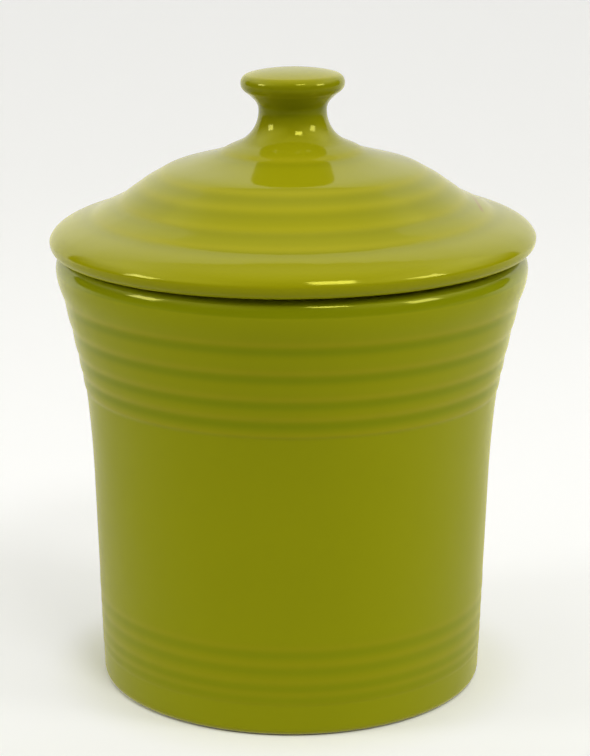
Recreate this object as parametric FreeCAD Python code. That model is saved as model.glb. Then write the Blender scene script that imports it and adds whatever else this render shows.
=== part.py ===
"""Lidded ceramic jam jar: a turned jar with two bands of rings, and a domed lid with a knob.

Both pieces are solids of revolution. Each one is drawn as a closed outline in the (radius, height)
half-plane, in millimetres, and turned once round the jar's axis. The origin is on that axis, at the
surface the jar stands on, with +Z up.
"""

import FreeCAD, Part
import math
import os

# ---------------------------------------------------------------- rings
RING_LIP = (0.16, 2.0)       # handle of a ring's rounded lower lip: share of the pitch, reliefs out
RING_BACK = (0.6, 0.6)       # handle of the long slope back above it
LOWER_RINGS_FROM = 6.05      # height of the lowest crease of the lower band
LOWER_PITCHES = (1.9, 2.45, 3.4, 3.2, 4.2)
LOWER_RELIEF = 0.07          # how far a lower ring stands out from the line through its creases
RIM_TO_RINGS = 8.4           # from the rim's top down to the highest crease
UPPER_PITCHES = (3.3, 3.85, 5.05, 5.4)
UPPER_RELIEF = 0.18

# ---------------------------------------------------------------- jar, outside
JAR_HEIGHT = 84.0            # standing surface to the top of the rim
FOOT_RADIUS = 36.85          # wall line carried down to the standing surface
WALL_TAPER = 0.033           # radius gained for each millimetre of height, lower wall
FLARE_HEIGHT = 18.0          # height of the curved wall just below the upper rings
FLARE_OUT = 0.74             # how far that wall has left the lower wall's line at its top
FLARE_HOLD = 0.5             # share of its height over which it keeps to that line
BAND_SPREAD = 5.23           # radius gained from there to the rim
BAND_BOW = 0.26              # how far the upper band bows in from a straight cone
RIM_BELT = 3.0               # height of the upright belt at the rim, rounding included
BELT_LEAVE = (0.5, 0.3)      # handle of the swell below the belt: shares of its run and its rise
BELT_ARRIVE = 0.35           # share of that rise over which the swell is already upright
FOOT_EDGE = 1.5              # rounding round the foot
RIM_EDGE = 1.7               # rounding of the rim, inside and outside

UPPER_RINGS_FROM = JAR_HEIGHT - RIM_TO_RINGS - sum(UPPER_PITCHES)
FLARE_START = UPPER_RINGS_FROM - FLARE_HEIGHT
BAND_RADIUS = FOOT_RADIUS + WALL_TAPER * UPPER_RINGS_FROM + FLARE_OUT
RIM_RADIUS = BAND_RADIUS + BAND_SPREAD

# ---------------------------------------------------------------- jar, inside
WALL = 4.2
FLOOR = 5.2                  # floor thickness over the recess under the foot
FOOT_RECESS = 1.6            # depth of the recess inside the foot ring
FOOT_RING = 4.0              # width of the ring that the jar stands on
FLOOR_CORNER = 7.0           # rounding between the inner wall and the floor
MOUTH_SPARE = 1.5            # how much deeper the straight mouth is than the lid's flange

# ---------------------------------------------------------------- lid, heights above its seat
LID_OVERHANG = 1.27          # how far the brim stands out beyond the rim
BRIM_ROUND = 2.0             # radius of the brim's edge below its widest line
BRIM_SHOULDER = 3.06         # handle of the brim's upper rounding, straight up from that line
BRIM_WIDTH = 8.33            # from the brim's edge in to the lowest crease of the dome
BRIM_HEIGHT = 6.98           # height of that crease
BRIM_SLOPE = (1.75, 0.87)    # handle of the brim's top at that crease: run outwards and fall
DOME_STEPS = ((4.79, 2.43), (3.81, 2.87), (3.67, 2.22))  # run inwards and rise of each ring
CROWN_RISE = 3.95            # rise from the last dome ring to the crease round the collar
CROWN_SWELL = (0.2, 0.86)    # outer handle of the smooth crown: share of the way, height off it
CROWN_SETTLE = (0.45, -0.12)  # its inner handle
COLLAR_RUN = 2.9             # width of the collar ring, from that crease in to the neck's sweep
COLLAR_RISE = 1.5            # rise of the collar ring over that width
COLLAR_RELIEF = 0.14
DOME_RELIEF = 0.1
LID_WALL = 4.4
HOLLOW_SIDE = (1.5, 0.6)     # handle of the hollow's side: lean inwards, share of its height
HOLLOW_TOP = 0.58            # share of the hollow's radius over which its top is level
FLANGE_DEPTH = 6.0
FLANGE_WALL = 3.6
FLANGE_COVE = 0.8            # rounding between the seat and the flange
FLANGE_EDGE = 1.2            # rounding of the flange's lower end
FLANGE_CLEARANCE = 0.9       # gap all round between the flange and the mouth

# ---------------------------------------------------------------- knob
NECK_RADIUS = 6.42
NECK_COVE = 6.5              # radius of the sweep from the crown up to the neck
NECK_SWEEP = 68.0            # degrees of that sweep below the waist
KNOB_RADIUS = 9.77
KNOB_THICKNESS = 3.55        # from the lower shoulder of the knob to its shoulder above
KNOB_SHOULDER = 1.25         # how far the widest line stands out from both shoulders
KNOB_WIDEST = 0.52           # share of the thickness at which that line lies
KNOB_CROWN = 0.95            # rise of the slightly domed top
KNOB_TOP_LEVEL = 0.62        # share of the top's radius over which it stays nearly level
UPPER_TURN = (0.69, 0.25, 0.99)  # rounding over the widest line: run, fall, upright handle
LOWER_TURN = (0.75, 0.5, 0.89)   # the same below it, mirrored
KNOB_COVE = 3.3              # height of the sweep from the waist out to the knob
COVE_UNDER = (0.3, 0.45)     # its upper handle: distance off the neck, share of its height
COVE_STEM = 0.35             # share of its height over which it keeps to the neck

LID_RADIUS = RIM_RADIUS + LID_OVERHANG
MOUTH_DEPTH = FLANGE_DEPTH + MOUTH_SPARE

# ---------------------------------------------------------------- how the lid lies
LID_TILT = 0.6               # degrees: the lid lies a little askew, its +X side raised
LID_SHIFT = 0.15             # the lid lies this far towards +X of the jar's axis
SEAT_GAP = 0.03              # air left at the line where the lid touches the rim


def point(spot):
    """Point of the drawing plane, given as (radius, height)."""
    return FreeCAD.Vector(spot[0], 0, spot[1])


def line(start, end):
    """Straight edge."""
    return Part.LineSegment(point(start), point(end)).toShape()


def bezier(*poles):
    """Smooth edge drawn by its poles."""
    curve = Part.BezierCurve()
    curve.setPoles([point(pole) for pole in poles])
    return curve.toShape()


def arc(centre, radius, start_deg, end_deg):
    """Circular edge round a centre, from one angle to another, 0 pointing outwards."""
    spots = []
    for share in (0.0, 0.5, 1.0):
        angle = math.radians(start_deg + share * (end_deg - start_deg))
        spots.append((centre[0] + radius * math.cos(angle), centre[1] + radius * math.sin(angle)))
    return Part.Arc(*[point(spot) for spot in spots]).toShape()


def between(start, end, share, out=0.0):
    """Spot on the way from start to end, moved square to that way by out, to its right."""
    run, rise = end[0] - start[0], end[1] - start[1]
    length = math.hypot(run, rise)
    return (start[0] + share * run + out * rise / length,
            start[1] + share * rise - out * run / length)


def ring(low, high, relief):
    """One turned ring between two creases: a rounded lip below and a long slope back above it."""
    lip, back = [between(low, high, share, reliefs * relief) for share, reliefs in (RING_LIP, RING_BACK)]
    return bezier(low, lip, back, high)


def turned(edges):
    """Solid made by turning a closed outline once round the axis."""
    face = Part.Face(Part.Wire(Part.__sortEdges__(edges)))
    solid = face.revolve(FreeCAD.Vector(0, 0, 0), FreeCAD.Vector(0, 0, 1), 360)
    return Part.Solid(solid.Shells[0])


def heights(start, pitches):
    """Heights of the creases of a band, from its lowest one up."""
    levels = [start]
    for pitch in pitches:
        levels.append(levels[-1] + pitch)
    return levels


def lower_wall(height):
    """Outer radius of the straight, slightly tapering lower wall."""
    return FOOT_RADIUS + WALL_TAPER * height


def upper_band(height):
    """Outer radius of the line through the creases of the upper band, a shallow inward bow."""
    share = (height - UPPER_RINGS_FROM) / (JAR_HEIGHT - RIM_BELT - UPPER_RINGS_FROM)
    straight = BAND_RADIUS + share * (RIM_RADIUS - BAND_RADIUS)
    return straight - 4.0 * BAND_BOW * share * (1.0 - share)


def flare(inset):
    """Curved wall between the lower wall and the upper rings, moved in by inset."""
    low = (lower_wall(FLARE_START) - inset, FLARE_START)
    high = (BAND_RADIUS - inset, UPPER_RINGS_FROM)
    handle = FLARE_HOLD * FLARE_HEIGHT
    return bezier(low, (low[0] + WALL_TAPER * handle, low[1] + handle), high)


def jar_outside():
    """Edges of the jar's outer wall, from the standing surface up to the rim's top."""
    foot = (lower_wall(FOOT_EDGE), FOOT_EDGE)
    edges = [arc((foot[0] - FOOT_EDGE, FOOT_EDGE), FOOT_EDGE, -90, 0)]
    creases = [(lower_wall(level), level) for level in heights(LOWER_RINGS_FROM, LOWER_PITCHES)]
    edges.append(line(foot, creases[0]))
    for low, high in zip(creases, creases[1:]):
        edges.append(ring(low, high, LOWER_RELIEF))
    edges.append(line(creases[-1], (lower_wall(FLARE_START), FLARE_START)))
    edges.append(flare(0.0))
    creases = [(upper_band(level), level) for level in heights(UPPER_RINGS_FROM, UPPER_PITCHES)]
    for low, high in zip(creases, creases[1:]):
        edges.append(ring(low, high, UPPER_RELIEF))
    return edges + rim_belt(creases[-1])


def rim_belt(crease):
    """Edges from the top crease out to the upright belt, and over the rim's outer rounding."""
    belt = (RIM_RADIUS, JAR_HEIGHT - RIM_BELT)
    rise = belt[1] - crease[1]
    run = belt[0] - crease[0]
    swell = bezier(crease, (crease[0] + BELT_LEAVE[0] * run, crease[1] + BELT_LEAVE[1] * rise),
                   (belt[0], belt[1] - BELT_ARRIVE * rise), belt)
    edge = (RIM_RADIUS, JAR_HEIGHT - RIM_EDGE)
    return [swell, line(belt, edge), arc((edge[0] - RIM_EDGE, edge[1]), RIM_EDGE, 0, 90)]


def mouth_radius():
    """Radius of the straight mouth: the wall's thickness in from the band where the mouth ends."""
    return upper_band(JAR_HEIGHT - MOUTH_DEPTH) - WALL


def jar_inside():
    """Edges from the rim's top down the mouth and the inner wall to the axis, and the underside."""
    mouth = mouth_radius()
    mouth_low = (mouth, JAR_HEIGHT - MOUTH_DEPTH)
    band_low = (BAND_RADIUS - WALL, UPPER_RINGS_FROM)
    middle = (mouth_low[1] + band_low[1]) / 2
    floor_top = FOOT_RECESS + FLOOR
    corner_top = (lower_wall(floor_top + FLOOR_CORNER) - WALL, floor_top + FLOOR_CORNER)
    corner_in = (corner_top[0] - FLOOR_CORNER, floor_top)
    foot_in = lower_wall(0.0) - FOOT_EDGE - FOOT_RING
    slope_in = (foot_in - FOOT_RECESS, FOOT_RECESS)
    return [
        line((RIM_RADIUS - RIM_EDGE, JAR_HEIGHT), (mouth + RIM_EDGE, JAR_HEIGHT)),
        arc((mouth + RIM_EDGE, JAR_HEIGHT - RIM_EDGE), RIM_EDGE, 90, 180),
        line((mouth, JAR_HEIGHT - RIM_EDGE), mouth_low),
        bezier(mouth_low, (upper_band(middle) - WALL, middle), band_low),
        flare(WALL),
        line((lower_wall(FLARE_START) - WALL, FLARE_START), corner_top),
        bezier(corner_top, (corner_top[0], floor_top), corner_in),
        line(corner_in, (0.0, floor_top)),
        line((0.0, floor_top), (0.0, FOOT_RECESS)),
        line((0.0, FOOT_RECESS), slope_in),
        line(slope_in, (foot_in, 0.0)),
        line((foot_in, 0.0), (lower_wall(FOOT_EDGE) - FOOT_EDGE, 0.0)),
    ]


def jar():
    """Hollow jar with a foot ring."""
    return turned(jar_outside() + jar_inside())


def dome_creases():
    """Creases of the dome, from its foot inwards and up to the foot of the collar."""
    spots = [(LID_RADIUS - BRIM_WIDTH, BRIM_HEIGHT)]
    for run, rise in DOME_STEPS:
        spots.append((spots[-1][0] - run, spots[-1][1] + rise))
    spots.append((sweep_foot(0.0)[0] + COLLAR_RUN, spots[-1][1] + CROWN_RISE))
    return spots


def waist_height():
    """Height of the neck's waist: the sweep ends where the collar ring is at its highest."""
    return dome_creases()[-1][1] + COLLAR_RISE - sweep_foot(0.0)[1]


def knob_top():
    """Height of the knob's top on its axis."""
    return waist_height() + KNOB_COVE + KNOB_THICKNESS + KNOB_CROWN


def knob_turn(shoulder, widest, turn, side):
    """Rounding from a shoulder of the knob to its widest line; side is 1 above it and -1 below it."""
    run, fall, upright = turn
    return bezier(shoulder, (shoulder[0] + run, shoulder[1] - side * fall),
                  (widest[0], widest[1] + side * upright), widest)


def knob():
    """Edges of the knob, from its top down to the neck's waist."""
    waist = (NECK_RADIUS, waist_height())
    low = (KNOB_RADIUS - KNOB_SHOULDER, waist[1] + KNOB_COVE)
    high = (low[0], low[1] + KNOB_THICKNESS)
    widest = (KNOB_RADIUS, low[1] + KNOB_WIDEST * KNOB_THICKNESS)
    under, drop = COVE_UNDER
    return [
        bezier((0.0, knob_top()), (KNOB_TOP_LEVEL * high[0], knob_top()), high),
        knob_turn(high, widest, UPPER_TURN, 1),
        knob_turn(low, widest, LOWER_TURN, -1),
        bezier(low, (waist[0] + under, low[1] - drop * KNOB_COVE),
               (waist[0], waist[1] + COVE_STEM * KNOB_COVE), waist),
    ]


def lid_outside():
    """Edges of the lid's upper face, from the knob's top down and out to the brim."""
    creases = dome_creases()
    waist = waist_height()
    edges = knob() + [
        arc((NECK_RADIUS + NECK_COVE, waist), NECK_COVE, 180, 180 + NECK_SWEEP),
        ring(creases[-1], sweep_foot(waist), COLLAR_RELIEF),
        crown(creases[-2], creases[-1]),
    ]
    for outer, inner in zip(creases[:-2], creases[1:-1]):
        edges.append(ring(outer, inner, DOME_RELIEF))
    return edges + brim(creases[0])


def sweep_foot(waist):
    """Lower end of the neck's sweep, where the collar begins, for a waist at this height."""
    angle = math.radians(180 + NECK_SWEEP)
    return (NECK_RADIUS + NECK_COVE + NECK_COVE * math.cos(angle), waist + NECK_COVE * math.sin(angle))


def crown(outer, inner):
    """Smooth swelling top of the dome between its last ring and the collar."""
    return bezier(outer, between(outer, inner, *CROWN_SWELL), between(outer, inner, *CROWN_SETTLE), inner)


def brim(dome_foot):
    """Edges from the foot of the dome over the sloping brim and round its edge to the seat."""
    widest = (LID_RADIUS, BRIM_ROUND)
    run, fall = BRIM_SLOPE
    return [
        bezier(dome_foot, (dome_foot[0] + run, dome_foot[1] - fall),
               (widest[0], widest[1] + BRIM_SHOULDER), widest),
        arc((LID_RADIUS - BRIM_ROUND, BRIM_ROUND), BRIM_ROUND, 0, -90),
    ]


def lid_inside():
    """Edges of the lid's underside: the seat, the flange and the hollow under the dome."""
    flange = mouth_radius() - FLANGE_CLEARANCE
    inner = flange - FLANGE_WALL
    crown_low = dome_creases()[-2][1] + 0.5 * CROWN_RISE - LID_WALL
    hollow_low = (inner, FLANGE_EDGE)
    lean, up = HOLLOW_SIDE
    return [
        line((LID_RADIUS - BRIM_ROUND, 0.0), (flange + FLANGE_COVE, 0.0)),
        arc((flange + FLANGE_COVE, -FLANGE_COVE), FLANGE_COVE, 90, 180),
        line((flange, -FLANGE_COVE), (flange, FLANGE_EDGE - FLANGE_DEPTH)),
        arc((flange - FLANGE_EDGE, FLANGE_EDGE - FLANGE_DEPTH), FLANGE_EDGE, 0, -90),
        line((flange - FLANGE_EDGE, -FLANGE_DEPTH), (inner + FLANGE_EDGE, -FLANGE_DEPTH)),
        arc((inner + FLANGE_EDGE, FLANGE_EDGE - FLANGE_DEPTH), FLANGE_EDGE, 270, 180),
        line((inner, FLANGE_EDGE - FLANGE_DEPTH), hollow_low),
        bezier(hollow_low, (inner - lean, up * crown_low), (HOLLOW_TOP * inner, crown_low),
               (0.0, crown_low)),
        line((0.0, crown_low), (0.0, knob_top())),
    ]


def lid():
    """Lid with its knob, laid on the rim: it touches at -X and is raised at +X."""
    shape = turned(lid_outside() + lid_inside())
    seat = RIM_RADIUS - RIM_EDGE
    shape.translate(FreeCAD.Vector(LID_SHIFT, 0, JAR_HEIGHT + SEAT_GAP))
    shape.rotate(FreeCAD.Vector(-seat, 0, JAR_HEIGHT), FreeCAD.Vector(0, 1, 0), -LID_TILT)
    return shape


def main():
    """Write each piece to its own file."""
    os.makedirs("parts", exist_ok=True)
    for name, shape in (("jar", jar()), ("lid", lid())):
        shape.exportStep(f"parts/{name}.step")
        box = shape.BoundBox
        print(name, "valid", shape.isValid(), "volume", round(shape.Volume, 1),
              "z", round(box.ZMin, 2), round(box.ZMax, 2), "r", round(box.XMax, 2))


main()
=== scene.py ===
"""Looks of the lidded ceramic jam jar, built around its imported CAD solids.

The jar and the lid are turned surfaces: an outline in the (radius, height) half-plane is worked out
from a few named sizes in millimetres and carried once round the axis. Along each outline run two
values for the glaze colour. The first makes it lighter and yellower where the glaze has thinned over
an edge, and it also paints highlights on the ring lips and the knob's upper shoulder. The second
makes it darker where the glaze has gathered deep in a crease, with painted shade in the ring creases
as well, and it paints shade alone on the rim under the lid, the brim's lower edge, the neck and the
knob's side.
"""

from __future__ import annotations

import logging
import math
from dataclasses import dataclass, field
from enum import Enum

import bpy
import numpy as np
from mathutils import Euler, Matrix, Vector

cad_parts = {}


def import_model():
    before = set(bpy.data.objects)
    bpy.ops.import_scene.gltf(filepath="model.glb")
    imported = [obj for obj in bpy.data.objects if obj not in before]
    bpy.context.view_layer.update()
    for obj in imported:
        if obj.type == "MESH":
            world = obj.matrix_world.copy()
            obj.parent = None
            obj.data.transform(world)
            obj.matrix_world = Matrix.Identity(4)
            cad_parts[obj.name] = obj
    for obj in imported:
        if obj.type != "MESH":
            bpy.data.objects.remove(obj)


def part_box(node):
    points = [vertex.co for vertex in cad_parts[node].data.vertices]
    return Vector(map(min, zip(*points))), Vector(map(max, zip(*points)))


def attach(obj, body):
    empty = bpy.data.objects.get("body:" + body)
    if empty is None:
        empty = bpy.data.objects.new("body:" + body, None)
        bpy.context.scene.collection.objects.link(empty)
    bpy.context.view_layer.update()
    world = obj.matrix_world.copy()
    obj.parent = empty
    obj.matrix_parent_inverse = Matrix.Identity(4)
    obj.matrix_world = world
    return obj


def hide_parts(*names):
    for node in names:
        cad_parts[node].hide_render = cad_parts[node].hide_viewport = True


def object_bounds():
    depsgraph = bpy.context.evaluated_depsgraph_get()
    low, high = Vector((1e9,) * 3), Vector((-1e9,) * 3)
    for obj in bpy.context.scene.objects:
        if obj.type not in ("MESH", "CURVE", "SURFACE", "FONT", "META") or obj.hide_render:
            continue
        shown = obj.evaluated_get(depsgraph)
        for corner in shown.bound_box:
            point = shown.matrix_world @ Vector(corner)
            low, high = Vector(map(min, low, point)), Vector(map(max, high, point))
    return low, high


LOG = logging.getLogger("jam_jar")
MM = 0.001
SKIN = 0.05
CURVE_STEPS = 60
Spot = tuple[float, float]
Colour = tuple[float, float, float, float]


class Coating(Enum):
    """What covers a stretch of an outline."""

    GLAZE = 0.0
    CLAY = 1.0


# ------------------------------------------------------------------------------------ outlines


def bezier(poles: list[Spot], count: int) -> np.ndarray:
    """Points of a Bezier curve: each pole weighted by its Bernstein polynomial.

    Args:
        poles: The curve's poles as (radius, height).
        count: How many steps the curve is cut into.

    Returns:
        An array of count + 1 rows of (radius, height).
    """
    t = np.linspace(0.0, 1.0, count + 1)[:, None]
    degree = len(poles) - 1
    total = np.zeros((count + 1, 2))
    for i, pole in enumerate(poles):
        total += math.comb(degree, i) * (1 - t) ** (degree - i) * t**i * np.array(pole)
    return total


def circle(centre: Spot, radius: float, start: float, end: float, count: int) -> np.ndarray:
    """Points of a circular arc: centre plus radius times (cosine, sine) of an even run of angles.

    Args:
        centre: The arc's centre as (radius, height).
        radius: The arc's own radius.
        start: First angle in degrees, 0 pointing outwards.
        end: Last angle in degrees.
        count: How many steps the arc is cut into.

    Returns:
        An array of count + 1 rows of (radius, height).
    """
    angle = np.radians(np.linspace(start, end, count + 1))
    return np.array(centre) + radius * np.column_stack((np.cos(angle), np.sin(angle)))


def between(start: Spot, end: Spot, share: float, out: float = 0.0) -> Spot:
    """Spot on the way from start to end, moved square to that way, to its right.

    Args:
        start: First end of the way.
        end: Last end of the way.
        share: How far along the way the spot lies, 0 to 1.
        out: How far it is moved off the way.

    Returns:
        The spot as (radius, height).
    """
    run, rise = end[0] - start[0], end[1] - start[1]
    length = math.hypot(run, rise)
    return (start[0] + share * run + out * rise / length, start[1] + share * rise - out * run / length)


@dataclass
class Outline:
    """A line drawn stretch by stretch in the (radius, height) half-plane, with its glaze values."""

    points: list[np.ndarray] = field(default_factory=list)
    thin_and_lit: list[np.ndarray] = field(default_factory=list)
    pooled_and_shaded: list[np.ndarray] = field(default_factory=list)
    bare: list[np.ndarray] = field(default_factory=list)

    def add(self, points: np.ndarray, thin_and_lit: np.ndarray | float = 0.0, pooled_and_shaded: np.ndarray | float = 0.0,
            coating: Coating = Coating.GLAZE) -> None:
        """Adds a stretch whose first point is where the last stretch ended.

        Args:
            points: The stretch's points as rows of (radius, height).
            thin_and_lit: How much lighter and yellower the colour is at each point, 0 to 1, where the
                glaze has thinned and where a highlight is painted.
            pooled_and_shaded: How much darker the colour is at each point, 1 in a crease and more where
                it is darker, where the glaze gathers and where shade is painted.
            coating: What covers the stretch.
        """
        skip = 1 if self.points else 0
        size = len(points)
        self.points.append(points[skip:])
        self.thin_and_lit.append(np.broadcast_to(thin_and_lit, size)[skip:])
        self.pooled_and_shaded.append(np.broadcast_to(pooled_and_shaded, size)[skip:])
        self.bare.append(np.full(size, coating.value)[skip:])

    def end(self) -> Spot:
        """Where the outline has got to."""
        return (float(self.points[-1][-1][0]), float(self.points[-1][-1][1]))

    def line_to(self, spot: Spot, count: int, coating: Coating = Coating.GLAZE) -> None:
        """Adds a straight stretch from where the outline has got to."""
        self.add(np.linspace(self.end(), spot, count + 1), coating=coating)

    def values(self) -> tuple[np.ndarray, np.ndarray, np.ndarray, np.ndarray]:
        """The joined points, thin values, pooled values and bare values."""
        return (np.concatenate(self.points), np.concatenate(self.thin_and_lit),
                np.concatenate(self.pooled_and_shaded), np.concatenate(self.bare))


@dataclass(frozen=True)
class Rings:
    """A band of turned rings: rounded lower lips with long slopes back above them."""

    relief: float
    soft: float
    lip: Spot = (0.16, 2.0)
    back: Spot = (0.6, 0.6)
    step: float = 0.2
    thin_and_lit_at: float = 0.5
    thin_and_lit_width: float = 0.6
    pool_and_shade_at: float = -0.9
    pool_and_shade_width: float = 0.9

    def poles(self, low: Spot, high: Spot, relief: float | None = None) -> list[Spot]:
        """Poles of one ring, a cubic curve through both creases.

        Args:
            low: The crease below the ring.
            high: The crease above it.
            relief: How far the ring stands out; the band's own relief if it isn't given.

        Returns:
            The four poles; the inner two stand out by a share of the relief.
        """
        out = self.relief if relief is None else relief
        return [low, between(low, high, self.lip[0], self.lip[1] * out),
                between(low, high, self.back[0], self.back[1] * out), high]

    def band(self, creases: list[Spot]) -> list[list[Spot]]:
        """Poles of one ring for each pair of creases, from the lowest crease up."""
        return [self.poles(low, high) for low, high in zip(creases, creases[1:])]

    def draw(self, outline: Outline, curves: list[list[Spot]], plain: int = 0,
             strength: float = 1.0) -> None:
        """Adds a band of curves, each of which starts at a crease.

        The curves are cut into even steps and each point moves to the mean of its neighbours,
        weighted by a bell curve, as glaze rounds a corner. Along the band the colour is lighter in a
        bell curve just above each crease, on the lip, where the glaze has thinned and a highlight is
        painted, and darker in one just below it, where the glaze gathers and shade is painted.

        Args:
            outline: The outline that the band goes on.
            curves: Each curve's poles, from the lowest curve up.
            plain: How many of the first curves start without a crease.
            strength: How strong the lighter lip marks, with their painted highlight, and the darker
            crease marks, with their painted shade, are.
        """
        drawn = [bezier(poles, CURVE_STEPS) for poles in curves]
        joined = np.concatenate([drawn[0]] + [curve[1:] for curve in drawn[1:]])
        way = np.concatenate(([0.0], np.cumsum(np.hypot(*np.diff(joined, axis=0).T))))
        count = int(way[-1] / self.step)
        even = np.linspace(0.0, way[-1], count + 1)
        points = np.column_stack([np.interp(even, way, joined[:, axis]) for axis in (0, 1)])
        gap = even[:, None] - even[None, :]
        weight = np.exp(-0.5 * (gap / self.soft) ** 2)
        drift = points - (points[0] + (even / way[-1])[:, None] * (points[-1] - points[0]))
        ends = np.minimum(1.0, np.minimum(even, way[-1] - even) / (2.0 * self.soft))[:, None]
        smooth = (weight @ drift) / weight.sum(1, keepdims=True)
        points = points + ends * (smooth - drift)
        marks = way[np.arange(plain, len(curves)) * CURVE_STEPS]
        # Lighter on the lips, where the glaze thins and a highlight is painted; darker below the
        # creases, where the glaze gathers and shade is painted.
        thin_and_lit = self.bell(even, marks + self.thin_and_lit_at, self.thin_and_lit_width)
        pooled_and_shaded = self.bell(even, marks + self.pool_and_shade_at, self.pool_and_shade_width)
        outline.add(points, strength * thin_and_lit, strength * pooled_and_shaded)

    @staticmethod
    def bell(way: np.ndarray, marks: np.ndarray, width: float) -> np.ndarray:
        """Sum of bell curves of one width round some marks along a way, 1 at most."""
        return np.minimum(1.0, np.exp(-(((way[:, None] - marks[None, :]) / width) ** 2)).sum(1))


def turn(name: str, outline: Outline, segments: int) -> bpy.types.Object:
    """Turns an outline once round the axis into a closed mesh.

    A point at (radius, height) goes to (radius cos a, radius sin a, height) at each angle a of an
    even run. Where the outline starts or ends on the axis there is one point and a fan of triangles.

    Args:
        name: The new object's name.
        outline: The closed outline, from the axis and back to it, its outside on the right.
        segments: How many steps the turn is cut into.

    Returns:
        The object, its mesh in metres round the Z axis.
    """
    points, thin_and_lit, pooled_and_shaded, bare = outline.values()
    ring = points[1:-1]
    angle = np.linspace(0.0, 2.0 * math.pi, segments, endpoint=False)
    grid = np.empty((len(ring), segments, 3))
    grid[..., 0] = ring[:, :1] * np.cos(angle)
    grid[..., 1] = ring[:, :1] * np.sin(angle)
    grid[..., 2] = ring[:, 1:]
    poles = np.array([[0.0, 0.0, points[0][1]], [0.0, 0.0, points[-1][1]]])
    places = np.concatenate((grid.reshape(-1, 3), poles)) * MM

    row = np.arange(len(ring) - 1)[:, None] * segments
    here = np.arange(segments)[None, :]
    ahead = (here + 1) % segments
    above = row + segments
    quads = np.stack((row + here, row + ahead, above + ahead, above + here), -1).reshape(-1, 4)
    first, last = len(ring) * segments, len(ring) * segments + 1
    around, onwards = here[0], ahead[0]
    tail = (len(ring) - 1) * segments
    fan_a = np.stack((np.full(segments, first), onwards, around), -1)
    fan_b = np.stack((np.full(segments, last), tail + around, tail + onwards), -1)

    mesh = bpy.data.meshes.new(name)
    loops = np.concatenate((quads.ravel(), fan_a.ravel(), fan_b.ravel()))
    sizes = np.concatenate((np.full(len(quads), 4), np.full(2 * segments, 3)))
    mesh.vertices.add(len(places))
    mesh.vertices.foreach_set("co", places.astype(np.float32).ravel())
    mesh.loops.add(len(loops))
    mesh.loops.foreach_set("vertex_index", loops.astype(np.int32))
    mesh.polygons.add(len(sizes))
    mesh.polygons.foreach_set("loop_start", (np.cumsum(sizes) - sizes).astype(np.int32))
    mesh.update(calc_edges=True)
    mesh.validate()
    for label, values in (("thin_and_lit", thin_and_lit), ("pooled_and_shaded", pooled_and_shaded), ("bare", bare)):
        spread = np.concatenate((np.repeat(values[1:-1], segments), values[[0, -1]]))
        layer = mesh.attributes.new(label, "FLOAT", "POINT")
        layer.data.foreach_set("value", spread.astype(np.float32))
    mesh.shade_smooth()
    thing = bpy.data.objects.new(name, mesh)
    bpy.context.scene.collection.objects.link(thing)
    return thing


# ------------------------------------------------------------------------------------ shaders


class Value:
    """A number socket whose sums, products and powers add Math nodes."""

    def __init__(self, tree: Nodes, socket: bpy.types.NodeSocket) -> None:
        """Wraps an output socket of a tree."""
        self.tree, self.socket = tree, socket

    def _math(self, operation: str, first: object, second: object) -> Value:
        """Adds a Math node that joins two numbers or sockets."""
        node = self.tree.add("ShaderNodeMath", {"operation": operation}, {0: first, 1: second})
        return Value(self.tree, node.outputs[0])

    def __add__(self, other: object) -> Value:
        """Sum."""
        return self._math("ADD", self, other)

    def __radd__(self, other: object) -> Value:
        """Sum with the number first."""
        return self._math("ADD", other, self)

    def __sub__(self, other: object) -> Value:
        """Difference."""
        return self._math("SUBTRACT", self, other)

    def __rsub__(self, other: object) -> Value:
        """Difference with the number first."""
        return self._math("SUBTRACT", other, self)

    def __mul__(self, other: object) -> Value:
        """Product."""
        return self._math("MULTIPLY", self, other)

    def __rmul__(self, other: object) -> Value:
        """Product with the number first."""
        return self._math("MULTIPLY", other, self)

    def over(self, low: float, high: float) -> Value:
        """Smooth step of the value.

        Args:
            low: Where the step starts.
            high: Where it ends.

        Returns:
            0 up to low and 1 from high on.
        """
        node = self.tree.add("ShaderNodeMapRange", {"interpolation_type": "SMOOTHSTEP"},
                             {"Value": self, "From Min": low, "From Max": high})
        return Value(self.tree, node.outputs["Result"])


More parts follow.
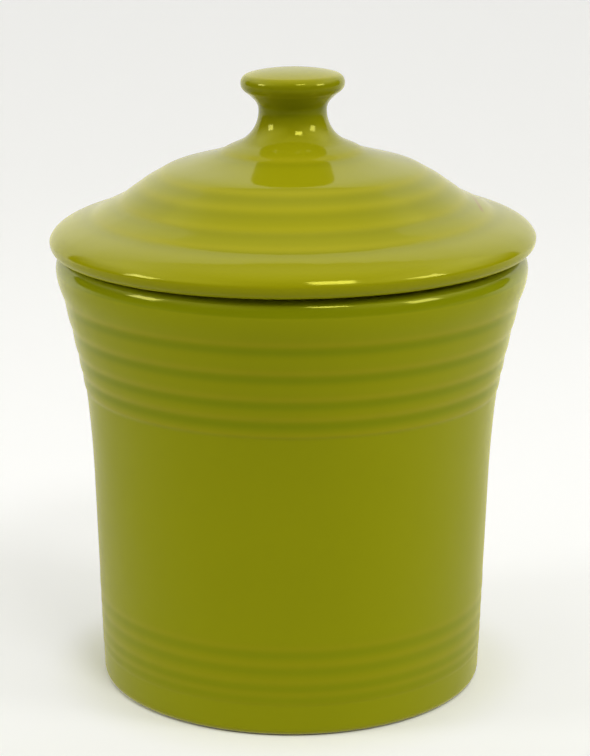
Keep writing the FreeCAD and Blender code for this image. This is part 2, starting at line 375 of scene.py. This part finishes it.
class Nodes:
    """A material's or world's node tree with one way to add a node."""

    def __init__(self, owner: bpy.types.Material | bpy.types.World) -> None:
        """Empties the owner's tree.

        Args:
            owner: The material or world whose nodes are made.
        """
        owner.use_nodes = True
        self.tree = owner.node_tree
        self.tree.nodes.clear()

    def add(self, kind: str, settings: dict[str, object] | None = None,
            inputs: dict[int | str, object] | None = None) -> bpy.types.Node:
        """Adds a node.

        Args:
            kind: The node's type.
            settings: The node's own properties, set first.
            inputs: Numbers, colours, sockets or Values for its input sockets.

        Returns:
            The new node.
        """
        node = self.tree.nodes.new(kind)
        for key, value in (settings or {}).items():
            setattr(node, key, value)
        for key, value in (inputs or {}).items():
            socket = node.inputs[key]
            if isinstance(value, Value):
                value = value.socket
            if isinstance(value, bpy.types.NodeSocket):
                self.tree.links.new(value, socket)
            else:
                socket.default_value = value
        return node

    def attribute(self, name: str) -> Value:
        """A number carried by the mesh."""
        return Value(self, self.add("ShaderNodeAttribute", {"attribute_name": name}).outputs["Fac"])

    def place(self) -> bpy.types.NodeSocket:
        """The object's own coordinates."""
        return self.add("ShaderNodeTexCoord").outputs["Object"]

    def noise(self, scale: float, detail: float = 2.0) -> Value:
        """Noise over the object's own coordinates.

        Args:
            scale: How many bumps there are in a metre, roughly.
            detail: How many finer layers lie on top.

        Returns:
            The noise, 0 to 1.
        """
        node = self.add("ShaderNodeTexNoise", {"normalize": True},
                        {"Vector": self.place(), "Scale": scale, "Detail": detail})
        return Value(self, node.outputs[0])

    def mix(self, share: Value, first: object, second: object) -> bpy.types.NodeSocket:
        """Colour that goes from first to second."""
        node = self.add("ShaderNodeMix", {"data_type": "RGBA"}, {"Factor": share, 6: first, 7: second})
        return node.outputs[2]

    def near(self, spot: Vector, reach: Spot) -> Value:
        """1 round a spot in the object's coordinates, falling to 0 between two distances from it."""
        node = self.add("ShaderNodeVectorMath", {"operation": "DISTANCE"}, {0: self.place(), 1: spot})
        return 1.0 - Value(self, node.outputs["Value"]).over(*reach)


def rgb(red: float, green: float, blue: float) -> Colour:
    """A linear colour with full alpha."""
    return (red, green, blue, 1.0)


@dataclass(frozen=True)
class Glaze:
    """Glossy yellow-green glaze: thinner and yellower on edges, deeper and greener in creases, with
    painted highlights and painted shade in the same colours.
    """

    name: str
    body: Colour = rgb(0.28, 0.287, 0.003)
    thin_and_lit: Colour = rgb(0.333, 0.302, 0.006)
    pooled_and_shaded: Colour = rgb(0.2, 0.232, 0.002)
    clay: Colour = rgb(0.62, 0.54, 0.38)
    roughness: float = 0.1
    clay_roughness: float = 0.75
    thin_and_lit_share: float = 0.75
    pooled_and_shaded_share: float = 0.8
    specular: float = 0.45
    specular_tint: Colour = rgb(1.0, 0.96, 0.13)
    sheen: float = 0.5
    sheen_roughness: float = 0.35
    sheen_tint: Colour = rgb(1.0, 0.93, 0.05)
    drift_noise: Spot = (28.0, 3.0)
    drift_range: Spot = (0.25, 0.75)
    drift_share: float = 0.12
    ripple_scale: float = 90.0
    ripple_strength: float = 0.35
    ripple: float = 0.0004
    flawed: bool = False
    flaw_at: float = 0.03465
    flaw_lean: float = 0.1
    flaw_width: float = 0.0005
    flaw_from: Spot = (-0.0085, -0.006)
    flaw_to: Spot = (0.002, 0.005)
    flaw_share: float = 0.7
    flaw_colour: Colour = rgb(0.26, 0.09, 0.01)

    def flaw(self, nodes: Nodes) -> Value:
        """Mask of a narrow line along the foot of the dome at +X.

        With x and y in metres, it is 1 where x + lean * y is the line's place and falls to 0 at its
        width, and it is cut off at both ends by smooth steps of y.

        Args:
            nodes: The material's nodes.

        Returns:
            The mask, 0 to 1.
        """
        spot = nodes.add("ShaderNodeSeparateXYZ", None, {0: nodes.place()})
        x, y = Value(nodes, spot.outputs["X"]), Value(nodes, spot.outputs["Y"])
        away = x + y * self.flaw_lean - self.flaw_at
        along = y.over(*self.flaw_from) * (1.0 - y.over(*self.flaw_to))
        return (1.0 - (away * away).over(0.0, self.flaw_width**2)) * along

    def colour(self, nodes: Nodes, bare: Value) -> bpy.types.NodeSocket:
        """Colour of the glaze where it has thinned, where it gathers, where highlights and shade are
        painted, and where it is flawed, and of the bare clay.

        Args:
            nodes: The material's nodes.
            bare: 1 where the clay is bare.

        Returns:
            The colour's socket.
        """
        drift = nodes.noise(*self.drift_noise).over(*self.drift_range)
        # Lighter where the glaze thins and where a highlight is painted.
        colour = nodes.mix(nodes.attribute("thin_and_lit") * self.thin_and_lit_share, self.body, self.thin_and_lit)
        # Darker where the glaze gathers and where shade is painted, with a random drift of tone on top.
        depth = nodes.attribute("pooled_and_shaded") * self.pooled_and_shaded_share + self.drift_share * drift
        colour = nodes.mix(depth, colour, self.pooled_and_shaded)
        if self.flawed:
            colour = nodes.mix(self.flaw(nodes) * self.flaw_share, colour, self.flaw_colour)
        return nodes.mix(bare, colour, self.clay)

    def material(self) -> bpy.types.Material:
        """Makes the material.

        Returns:
            The material, with the finish's own name.
        """
        made = bpy.data.materials.new(self.name)
        nodes = Nodes(made)
        bare = nodes.attribute("bare")
        bump = nodes.add("ShaderNodeBump", None, {
            "Strength": self.ripple_strength, "Distance": self.ripple,
            "Height": nodes.noise(self.ripple_scale)})
        shader = nodes.add("ShaderNodeBsdfPrincipled", None, {
            "Base Color": self.colour(nodes, bare),
            "Roughness": self.roughness + bare * (self.clay_roughness - self.roughness),
            "Specular IOR Level": self.specular, "Specular Tint": self.specular_tint,
            "Sheen Weight": self.sheen, "Sheen Roughness": self.sheen_roughness,
            "Sheen Tint": self.sheen_tint, "Normal": bump.outputs[0]})
        nodes.add("ShaderNodeOutputMaterial", None, {0: shader.outputs[0]})
        return made


JAR_GLAZE = Glaze("jar_glaze")
# The lid's glaze is painted lighter than the jar's, painted light on its upward-facing top, and its
# darker colour is a dull olive for the dome's creases and for painted shade on the brim's lower edge,
# the neck and the knob's side.
LIT_LID_GLAZE = Glaze("lid_glaze", body=rgb(0.302, 0.292, 0.003), thin_and_lit=rgb(0.36, 0.33, 0.008),
                  pooled_and_shaded=rgb(0.19, 0.2, 0.002), pooled_and_shaded_share=0.3, flawed=True)


def settle(thing: bpy.types.Object, node: str, finish: Glaze) -> None:
    """Gives a piece its finish and puts it in its CAD node's place.

    Args:
        thing: The finished piece.
        node: The CAD node that it stands for.
        finish: The piece's finish.
    """
    thing.data.materials.append(finish.material())
    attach(thing, "root")
    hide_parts(node)
    LOG.info("%s: %d faces", thing.name, len(thing.data.polygons))


# ------------------------------------------------------------------------------------ the jar


@dataclass
class Jar:
    """Hollow jar with a foot ring, two bands of rings and an upright belt at its rim.

    Sizes are in millimetres. A Spot of shares gives the place of a curve's poles.
    """

    height: float
    rim_radius: float
    taper: float = 0.033
    flare_height: float = 18.0
    flare_out: float = 0.74
    band_spread: float = 5.23
    band_bow: float = 0.26
    belt: float = 3.0
    belt_leave: Spot = (0.5, 0.3)
    belt_arrive: float = 0.35
    foot_edge: float = 1.5
    foot_fade: float = 0.7
    rim_edge: float = 1.7
    rim_round: Spot = (2.3, 3.0)
    rim_shape: Spot = (0.4, 0.35)
    rim_shade: float = 0.7
    lower_from: float = 6.05
    lower_pitches: tuple[float, ...] = (1.9, 2.45, 3.4, 3.2, 4.2)
    rim_to_rings: float = 8.4
    upper_pitches: tuple[float, ...] = (3.3, 3.85, 5.05, 5.4)
    wall: float = 4.2
    floor: float = 5.2
    recess: float = 1.6
    foot_ring: float = 4.0
    corner: float = 7.0
    mouth_depth: float = 7.5
    segments: int = 192
    lower_strength: float = 0.6
    lower_rings: Rings = Rings(relief=0.07, soft=0.3)
    upper_rings: Rings = Rings(relief=0.18, soft=0.4)
    finish: Glaze = JAR_GLAZE

    @classmethod
    def from_frame(cls) -> Jar:
        """A jar as high and as wide as its CAD solid."""
        low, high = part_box("jar")
        return cls(height=(high.z - low.z) / MM, rim_radius=(high.x - low.x) / 2 / MM)

    def band_from(self) -> float:
        """Height of the upper band's lowest crease."""
        return self.height - self.rim_to_rings - sum(self.upper_pitches)

    def band_radius(self) -> float:
        """Radius at the upper band's lowest crease."""
        return self.rim_radius - self.band_spread

    def lower_wall(self, height: float) -> float:
        """Radius of the straight lower wall at a height."""
        return self.band_radius() - self.flare_out - self.taper * (self.band_from() - height)

    def upper_band(self, height: float) -> float:
        """Radius of the line through the upper creases: a cone that bows in by a parabola.

        Args:
            height: Height above the foot.

        Returns:
            The radius at that height.
        """
        share = (height - self.band_from()) / (self.height - self.belt - self.band_from())
        bow = 4.0 * self.band_bow * share * (1.0 - share)
        return self.band_radius() + share * self.band_spread - bow

    def flare(self, inset: float) -> list[Spot]:
        """Poles of the curved wall below the upper band.

        Args:
            inset: How far the curve is moved in from the outside.

        Returns:
            The three poles, from the lowest up.
        """
        start = self.band_from() - self.flare_height
        low = (self.lower_wall(start) - inset, start)
        handle = 0.5 * self.flare_height
        return [low, (low[0] + self.taper * handle, start + handle),
                (self.band_radius() - inset, self.band_from())]

    def mouth_radius(self) -> float:
        """Radius of the straight mouth."""
        return self.upper_band(self.height - self.mouth_depth) - self.wall

    def under_belt(self, low: Spot) -> list[Spot]:
        """Poles of the hollow curve from the topmost crease up to the belt.

        Args:
            low: The topmost crease.

        Returns:
            The four poles, from the lowest up.
        """
        belt = (self.rim_radius, self.height - self.belt)
        run, rise = belt[0] - low[0], belt[1] - low[1]
        out, up = self.belt_leave
        return [low, (low[0] + out * run, low[1] + up * rise),
                (belt[0], belt[1] - self.belt_arrive * rise), belt]

    def rim(self) -> list[Spot]:
        """Poles of the rim's outer rounding.

        Returns:
            The four poles, from the belt up to the flat top.
        """
        across, down = self.rim_round
        level, upright = self.rim_shape
        return [(self.rim_radius, self.height - self.belt),
                (self.rim_radius, self.height - upright * down),
                (self.rim_radius - level * across, self.height), (self.rim_radius - across, self.height)]

    def draw_outside(self, outline: Outline) -> None:
        """Adds the foot ring, the outer wall and the rim.

        Args:
            outline: An outline that has reached the foot ring's inner edge.
        """
        foot_out = self.lower_wall(self.foot_edge) - self.foot_edge
        outline.line_to((foot_out, 0.0), 8, Coating.CLAY)
        outline.add(circle((foot_out, self.foot_edge), self.foot_edge, -90, 0, 14),
                    thin_and_lit=np.linspace(1.0, 0.0, 15) ** self.foot_fade)
        levels = np.cumsum((self.lower_from, *self.lower_pitches))
        creases = [(self.lower_wall(z), float(z)) for z in levels]
        outline.line_to(creases[0], 14)
        self.lower_rings.draw(outline, self.lower_rings.band(creases), strength=self.lower_strength)
        flare = self.flare(0.0)
        outline.line_to(flare[0], 20)
        outline.add(bezier(flare, 30))
        levels = np.cumsum((self.band_from(), *self.upper_pitches))
        creases = [(self.upper_band(z), float(z)) for z in levels]
        self.upper_rings.draw(outline, [*self.upper_rings.band(creases), self.under_belt(creases[-1])])
        # Painted shade on the rim's outer rounding, in the gap under the lid's brim.
        outline.add(bezier(self.rim(), 20), pooled_and_shaded=self.rim_shade)

    def draw_inside(self, outline: Outline) -> None:
        """Adds the mouth, the inner wall and the inner floor, as far as the axis.

        Args:
            outline: An outline that has reached the rim's flat top.
        """
        mouth = self.mouth_radius()
        mouth_low = (mouth, self.height - self.mouth_depth)
        middle = (mouth_low[1] + self.band_from()) / 2
        top = self.recess + self.floor
        corner = (self.lower_wall(top + self.corner) - self.wall, top + self.corner)
        outline.line_to((mouth + self.rim_edge, self.height), 2)
        outline.add(circle((mouth + self.rim_edge, self.height - self.rim_edge), self.rim_edge,
                           90, 180, 10))
        outline.line_to(mouth_low, 5)
        outline.add(bezier([mouth_low, (self.upper_band(middle) - self.wall, middle),
                            (self.band_radius() - self.wall, self.band_from())], 12))
        outline.add(bezier(self.flare(self.wall)[::-1], 12))
        outline.line_to(corner, 16)
        outline.add(bezier([corner, (corner[0], top), (corner[0] - self.corner, top)], 12))
        outline.line_to((0.0, top), 14)

    def build(self) -> bpy.types.Object:
        """Makes the jar on its own axis.

        Returns:
            The jar's object.
        """
        foot_in = self.lower_wall(0.0) - self.foot_edge - self.foot_ring
        outline = Outline()
        outline.add(np.linspace((0.0, self.recess), (foot_in - self.recess, self.recess), 15))
        outline.line_to((foot_in, 0.0), 4)
        self.draw_outside(outline)
        self.draw_inside(outline)
        return turn("glazed_jar", outline, self.segments)

    def dress(self, thing: bpy.types.Object) -> None:
        """Gives the finished jar its glaze and its node's place."""
        settle(thing, "jar", self.finish)


# ------------------------------------------------------------------------------------ the lid


@dataclass
class Lid:
    """Domed lid with a brim, dome rings, a waisted knob and a flange.

    Sizes are in millimetres and heights are above the seat. The values for the brim's edge, the
    neck and the knob's side say how much painted shade, in the glaze's darker colour, lies there.
    """

    radius: float
    middle: Vector
    seat_height: float
    seat_radius: float
    flange_radius: float
    tilt: float = 0.6
    seat_gap: float = 0.03
    knob_drift: float = 0.25
    brim_round: float = 2.0
    brim_shoulder: float = 3.06
    brim_width: float = 8.33
    brim_height: float = 6.98
    brim_slope: Spot = (1.75, 0.87)
    steps: tuple[Spot, ...] = ((4.79, 2.43), (3.81, 2.87), (3.67, 2.22))
    crown_rise: float = 3.95
    crown_swell: Spot = (0.2, 0.86)
    crown_settle: Spot = (0.45, -0.12)
    collar_run: float = 2.9
    collar_rise: float = 1.5
    collar_relief: float = 0.14
    wall: float = 4.4
    hollow_side: Spot = (1.5, 0.6)
    hollow_top: float = 0.58
    hollow_crown: float = 0.5
    flange_depth: float = 6.0
    flange_wall: float = 3.6
    flange_cove: float = 0.8
    flange_edge: float = 1.2
    neck_radius: float = 6.42
    neck_cove: float = 6.5
    neck_sweep: float = 68.0
    knob_radius: float = 9.77
    knob_thickness: float = 3.55
    knob_shoulder: float = 1.25
    knob_widest: float = 0.52
    knob_crown: float = 0.93
    knob_top_level: float = 0.62
    upper_turn: tuple[float, float, float] = (0.69, 0.25, 0.99)
    lower_turn: tuple[float, float, float] = (0.75, 0.5, 0.89)
    knob_cove: float = 3.3
    cove_under: Spot = (0.3, 0.45)
    cove_stem: float = 0.35
    brim_shade: Spot = (2.0, 0.6)
    neck_shade: float = 3.0
    neck_fade: float = 4.0
    knob_shade: float = 2.0
    knob_fade: float = 2.0
    segments: int = 208
    rings: Rings = Rings(relief=0.1, soft=0.55, thin_and_lit_width=0.9, pool_and_shade_at=-1.3, pool_and_shade_width=1.2)
    finish: Glaze = LIT_LID_GLAZE

    @classmethod
    def from_frame(cls, jar: Jar, clearance: float = 0.9, shift: float = 0.15) -> Lid:
        """A lid as wide as its CAD solid, for a given jar.

        Args:
            jar: The jar that the lid lies on.
            clearance: Air all round between the flange and the mouth.
            shift: How far the lid lies towards +X.

        Returns:
            The lid, with its place taken from the jar and the frame.
        """
        low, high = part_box("lid")
        return cls(radius=(high.y - low.y) / 2 / MM - SKIN, middle=Vector((shift, 0.0, 0.0)),
                   seat_height=jar.height, seat_radius=jar.rim_radius - jar.rim_edge,
                   flange_radius=jar.mouth_radius() - clearance)

    def sweep_foot(self, waist: float) -> Spot:
        """Lower end of the neck's sweep, an arc that starts upright at the waist.

        Args:
            waist: The waist's height.

        Returns:
            The end as (radius, height).
        """
        angle = math.radians(180 + self.neck_sweep)
        return (self.neck_radius + self.neck_cove * (1 + math.cos(angle)),
                waist + self.neck_cove * math.sin(angle))

    def creases(self) -> list[Spot]:
        """Creases of the dome, each a step in and up from the last.

        Returns:
            The creases, from the dome's foot to the foot of the collar.
        """
        spots = [(self.radius - self.brim_width, self.brim_height)]
        for run, rise in self.steps:
            spots.append((spots[-1][0] - run, spots[-1][1] + rise))
        spots.append((self.sweep_foot(0.0)[0] + self.collar_run, spots[-1][1] + self.crown_rise))
        return spots

    def waist(self) -> float:
        """Height of the neck's waist."""
        return self.creases()[-1][1] + self.collar_rise - self.sweep_foot(0.0)[1]

    def knob_top(self) -> float:
        """Height of the knob's top."""
        return self.waist() + self.knob_cove + self.knob_thickness + self.knob_crown

    def draw_underside(self, outline: Outline) -> None:
        """Adds the hollow, the flange and the seat, as far as the brim's edge.

        Args:
            outline: An empty outline, which starts here on the axis under the dome.
        """
        inner = self.flange_radius - self.flange_wall
        low = self.creases()[-2][1] + self.hollow_crown * self.crown_rise - self.wall
        bottom = self.flange_edge - self.flange_depth
        edge, cove, outer = self.flange_edge, self.flange_cove, self.flange_radius
        lean, up = self.hollow_side
        outline.add(bezier([(0.0, low), (self.hollow_top * inner, low), (inner - lean, up * low),
                            (inner, edge)], 30))
        outline.line_to((inner, bottom), 6)
        outline.add(circle((inner + edge, bottom), edge, 180, 270, 8))
        outline.line_to((outer - edge, -self.flange_depth), 3, Coating.CLAY)
        outline.add(circle((outer - edge, bottom), edge, -90, 0, 8))
        outline.line_to((outer, -cove), 6)
        outline.add(circle((outer + cove, -cove), cove, 180, 90, 8))
        outline.line_to((self.radius - self.brim_round, 0.0), 8)

    def draw_dome(self, outline: Outline) -> None:
        """Adds the brim's rounded edge and top, the dome's rings, its crown and the collar ring.

        Args:
            outline: An outline that has reached the brim's lower edge.
        """
        creases = self.creases()
        run, fall = self.brim_slope
        foot, crown_out, crown_in = creases[0], creases[-2], creases[-1]
        brim = [(self.radius, self.brim_round), (self.radius, self.brim_round + self.brim_shoulder),
                (foot[0] + run, foot[1] - fall), foot]
        crown = [crown_out, between(crown_out, crown_in, *self.crown_swell),
                 between(crown_out, crown_in, *self.crown_settle), crown_in]
        collar = self.rings.poles(crown_in, self.sweep_foot(self.waist()), self.collar_relief)
        edge = self.brim_round
        # Painted shade on the brim's lower rounding, in the glaze's darker colour, strongest at the
        # bottom.
        outline.add(circle((self.radius - edge, edge), edge, -90, 0, 16),
                    pooled_and_shaded=np.linspace(*self.brim_shade, 17))
        self.rings.draw(outline, [brim, *self.rings.band(creases[:-1]), crown, collar], plain=1)

    def knob_turn(self, shoulder: Spot, widest: Spot, turn_by: tuple[float, float, float],
                  side: int) -> np.ndarray:
        """Points from a shoulder of the knob round to its widest line.

        Args:
            shoulder: Where the rounding starts.
            widest: Where the knob is widest.
            turn_by: How far the rounding runs out and falls, and how far it stands upright.
            side: 1 for the shoulder above the widest line and -1 for the one below.

        Returns:
            The points of a cubic curve, from the shoulder on.
        """
        run, fall, upright = turn_by
        return bezier([shoulder, (shoulder[0] + run, shoulder[1] - side * fall),
                       (widest[0], widest[1] + side * upright), widest], 14)

    def draw_knob(self, outline: Outline) -> None:
        """Adds the neck's sweep, the waist and the knob, as far as the axis.

        Args:
            outline: An outline that has reached the collar.
        """
        stem, waist = self.neck_radius, self.waist()
        low = (self.knob_radius - self.knob_shoulder, waist + self.knob_cove)
        high = (low[0], low[1] + self.knob_thickness)
        widest = (self.knob_radius, low[1] + self.knob_widest * self.knob_thickness)
        under, drop = self.cove_under
        rising = np.linspace(0.0, 1.0, 15) ** self.knob_fade
        sweep = circle((stem + self.neck_cove, waist), self.neck_cove, 180 + self.neck_sweep, 180, 36)
        cove = bezier([(stem, waist), (stem, waist + self.cove_stem * self.knob_cove),
                       (stem + under, low[1] - drop * self.knob_cove), low], 20)
        # Painted shade on the neck's sweep, growing towards the waist, and on the cove under the knob
        # and the knob's lower side, in the glaze's darker colour.
        outline.add(sweep, pooled_and_shaded=self.neck_shade * np.linspace(0.0, 1.0, 37) ** self.neck_fade)
        outline.add(cove, pooled_and_shaded=self.neck_shade)
        outline.add(self.knob_turn(low, widest, self.lower_turn, -1), pooled_and_shaded=self.knob_shade)
        # The knob's upper shoulder and top are lighter, where the glaze thins over the edge and a
        # highlight is painted, and the painted shade fades out up the shoulder.
        outline.add(self.knob_turn(high, widest, self.upper_turn, 1)[::-1], thin_and_lit=rising,
                    pooled_and_shaded=self.knob_shade * (1.0 - rising))
        top = self.knob_top()
        outline.add(bezier([high, (self.knob_top_level * high[0], top), (0.0, top)], 24),
                    thin_and_lit=np.linspace(1.0, 0.0, 25) ** self.knob_fade)

    def lie(self, thing: bpy.types.Object) -> None:
        """Lays the lid on the rim: turned up a little at +X, its knob drawn back upright by a shear.

        Args:
            thing: The lid, with its seat at height 0.
        """
        pivot = Vector((-self.seat_radius, 0.0, self.seat_height))
        turned = Matrix.Translation(pivot) @ Matrix.Rotation(-math.radians(self.tilt), 4, "Y")
        shear = Matrix.Identity(4)
        shear[0][2] = self.knob_drift / self.knob_top()
        seat = Vector((0.0, 0.0, self.seat_height + self.seat_gap))
        place = turned @ Matrix.Translation(self.middle + seat - pivot) @ shear
        place.translation *= MM
        thing.data.transform(place)

    def build(self) -> bpy.types.Object:
        """Makes the lid, lying on the jar.

        Returns:
            The lid's object.
        """
        outline = Outline()
        self.draw_underside(outline)
        self.draw_dome(outline)
        self.draw_knob(outline)
        thing = turn("glazed_lid", outline, self.segments)
        self.lie(thing)
        return thing

    def dress(self, thing: bpy.types.Object) -> None:
        """Gives the finished lid its glaze and its node's place."""
        settle(thing, "lid", self.finish)


# ------------------------------------------------------------------------------------ studio


@dataclass
class Sweep:
    """White paper that lies under the jar and curves up behind it.

    Sizes are in metres. Its colour is painted darker towards the front, a painted shade. What the
    camera sees of it is lifted towards a plain level, except close round the foot, and the
    reflections see a painted reflection, darker at the front; the light that it gives back is its own.
    """

    half_width: float = 1.2
    front: float = -0.55
    bend_at: float = 0.5
    bend: float = 0.5
    bend_points: int = 25
    top: float = 1.4
    paper: Colour = rgb(0.94, 0.94, 0.98)
    shaded_front: Colour = rgb(0.74, 0.75, 0.72)
    shown: Colour = rgb(0.98, 0.98, 1.0)
    shown_share: float = 0.38
    front_shade_reach: Spot = (-0.09, 0.0)
    mirrored_near: Colour = rgb(0.42, 0.42, 0.42)
    mirrored_far: Colour = rgb(0.92, 0.92, 0.92)
    mirrored_depth: Spot = (0.05, 0.33)
    shade_reach: Spot = (0.037, 0.05)

    def build(self) -> bpy.types.Object:
        """Makes the paper: a line along the floor, a quarter circle and a line up, carried across X.

        Returns:
            The paper's object.
        """
        angle = np.linspace(0.0, math.pi / 2, self.bend_points)
        back = self.bend_at + self.bend
        along = np.concatenate(([self.front], self.bend_at + self.bend * np.sin(angle), [back]))
        height = np.concatenate(([0.0], self.bend * (1.0 - np.cos(angle)), [self.top]))
        count = len(along)
        left = np.column_stack((np.full(count, -self.half_width), along, height))
        right = left * (-1.0, 1.0, 1.0)
        step = np.arange(count - 1)
        faces = np.column_stack((step, step + count, step + count + 1, step + 1))
        mesh = bpy.data.meshes.new("paper")
        mesh.from_pydata(np.concatenate((left, right)).tolist(), [], faces.tolist())
        mesh.shade_smooth()
        mesh.materials.append(self.material())
        paper = bpy.data.objects.new("paper", mesh)
        bpy.context.scene.collection.objects.link(paper)
        return paper

    def material(self) -> bpy.types.Material:
        """Makes the white paper.

        It is a matt white, painted darker towards the front as painted shade. A glow is mixed in
        for the camera, except close round the foot, where leaving it out shows the floor darker as
        painted shade; it takes over for reflections as a painted reflection, which brightens with
        the depth y.

        Returns:
            The material.
        """
        made = bpy.data.materials.new("paper")
        nodes = Nodes(made)
        path = nodes.add("ShaderNodeLightPath")
        seen = Value(nodes, path.outputs["Is Camera Ray"])
        mirrored = Value(nodes, path.outputs["Is Glossy Ray"])
        depth = Value(nodes, nodes.add("ShaderNodeSeparateXYZ", None, {0: nodes.place()}).outputs["Y"])
        # Painted shade: the paper darkens towards the front.
        plain = nodes.mix(depth.over(*self.front_shade_reach), self.shaded_front, self.paper)
        # Painted reflection: what the glaze mirrors of the paper, darker at the front and brightening
        # with the depth y.
        graded = nodes.mix(depth.over(*self.mirrored_depth), self.mirrored_near, self.mirrored_far)
        # No glow close round the foot, so the floor shows darker there: painted shade.
        lifted = 1.0 - nodes.near(Vector((0.0, 0.0, 0.0)), self.shade_reach)
        matt = nodes.add("ShaderNodeBsdfDiffuse", None, {"Color": plain})
        glow = nodes.add("ShaderNodeEmission", None, {"Color": nodes.mix(mirrored, self.shown, graded)})
        share = seen * lifted * self.shown_share + mirrored
        both = nodes.add("ShaderNodeMixShader", None, {0: share, 1: matt.outputs[0], 2: glow.outputs[0]})
        nodes.add("ShaderNodeOutputMaterial", None, {0: both.outputs[0]})
        return made


@dataclass(frozen=True)
class Lamp:
    """A soft box that looks at the jar: angles in degrees, 0 at the camera, and sizes in metres."""

    name: str
    azimuth: float
    elevation: float
    distance: float
    width: float
    height: float
    watts: float

    def place(self, aim: Vector) -> None:
        """Hangs the lamp and turns it to the jar.

        Args:
            aim: The middle of the jar.
        """
        turned, lift = math.radians(self.azimuth), math.radians(self.elevation)
        flat = math.cos(lift)
        way = Vector((math.sin(turned) * flat, -math.cos(turned) * flat, math.sin(lift)))
        light = bpy.data.lights.new(self.name, "AREA")
        light.shape = "RECTANGLE"
        light.size, light.size_y, light.energy = self.width, self.height, self.watts
        thing = bpy.data.objects.new(self.name, light)
        thing.location = aim + way * self.distance
        thing.rotation_euler = (-way).to_track_quat("-Z", "Y").to_euler()
        bpy.context.scene.collection.objects.link(thing)


@dataclass(frozen=True)
class Surround:
    """Soft light from overhead and from high on the left and the right, pale to the camera."""

    shown: Colour = rgb(0.93, 0.93, 0.92)
    colour: Colour = rgb(1.0, 0.99, 0.83)
    top: float = 0.9
    left: float = 2.15
    right: float = 2.3
    raised: Spot = (0.24, 0.8)
    overhead: Spot = (0.7, 1.0)
    aside: Spot = (0.0, 0.9)

    def build(self) -> None:
        """Makes the world.

        With x and z the direction's own coordinates, the light overhead comes in by a smooth step
        of the height z, and the light on each side by a smooth step of z times one of x or -x.
        """
        world = bpy.data.worlds.new("surround")
        bpy.context.scene.world = world
        nodes = Nodes(world)
        direction = nodes.add("ShaderNodeTexCoord").outputs["Generated"]
        way = nodes.add("ShaderNodeSeparateXYZ", None, {0: direction})
        x, z = Value(nodes, way.outputs["X"]), Value(nodes, way.outputs["Z"])
        overhead = z.over(*self.overhead)
        sides = (-1.0 * x).over(*self.aside) * self.left + x.over(*self.aside) * self.right
        strength = sides * (z.over(*self.raised) - overhead) + overhead * self.top
        around = nodes.add("ShaderNodeBackground", None, {"Color": self.colour, "Strength": strength})
        path = nodes.add("ShaderNodeLightPath")
        behind = nodes.add("ShaderNodeBackground", None, {"Color": self.shown})
        both = nodes.add("ShaderNodeMixShader", None, {
            0: path.outputs["Is Camera Ray"], 1: around.outputs[0], 2: behind.outputs[0]})
        nodes.add("ShaderNodeOutputWorld", None, {0: both.outputs[0]})


@dataclass
class Studio:
    """Three soft boxes, the surround and the camera."""

    lamps: tuple[Lamp, ...] = (
        Lamp("left_box", -77.0, 28.0, 0.9, 0.23, 0.23, 1.7),
        Lamp("main_box", 22.0, 52.0, 0.9, 0.25, 0.17, 1.9),
        Lamp("right_box", 69.0, 32.0, 0.9, 0.23, 0.23, 1.7),
    )
    surround: Surround = Surround()
    camera_side: float = 0.00062
    camera_back: float = 0.44619
    camera_height: float = 0.17915
    camera_down: float = 15.127
    camera_roll: float = 0.139
    lens: float = 114.243
    sensor: float = 36.0
    clip: Spot = (0.01, 10.0)

    def light(self, aim: Vector) -> None:
        """Hangs the lamps and makes the surround.

        Args:
            aim: The middle of the jar.
        """
        for lamp in self.lamps:
            lamp.place(aim)
        self.surround.build()

    def look(self) -> None:
        """Sets up the camera: it stands in front, looks down and leans by the roll."""
        data = bpy.data.cameras.new("eye")
        data.sensor_width = self.sensor
        data.lens = self.lens
        data.clip_start, data.clip_end = self.clip
        eye = bpy.data.objects.new("eye", data)
        eye.location = (self.camera_side, -self.camera_back, self.camera_height)
        tip = Euler((math.radians(90.0 - self.camera_down), 0.0, 0.0)).to_matrix()
        roll = Matrix.Rotation(math.radians(self.camera_roll), 3, "Z")
        eye.rotation_euler = (tip @ roll).to_euler()
        bpy.context.scene.collection.objects.link(eye)
        bpy.context.scene.camera = eye


def main() -> None:
    """Builds the jar, the lid and the studio round them."""
    logging.basicConfig(level=logging.INFO, format="%(name)s %(message)s")
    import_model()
    cad_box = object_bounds()
    bpy.context.scene.view_settings.view_transform = "Standard"
    jar = Jar.from_frame()
    jar.dress(jar.build())
    lid = Lid.from_frame(jar)
    lid.dress(lid.build())
    paper = Sweep().build()
    studio = Studio()
    studio.light((cad_box[0] + cad_box[1]) / 2)
    studio.look()


if __name__ == "__main__":
    main()
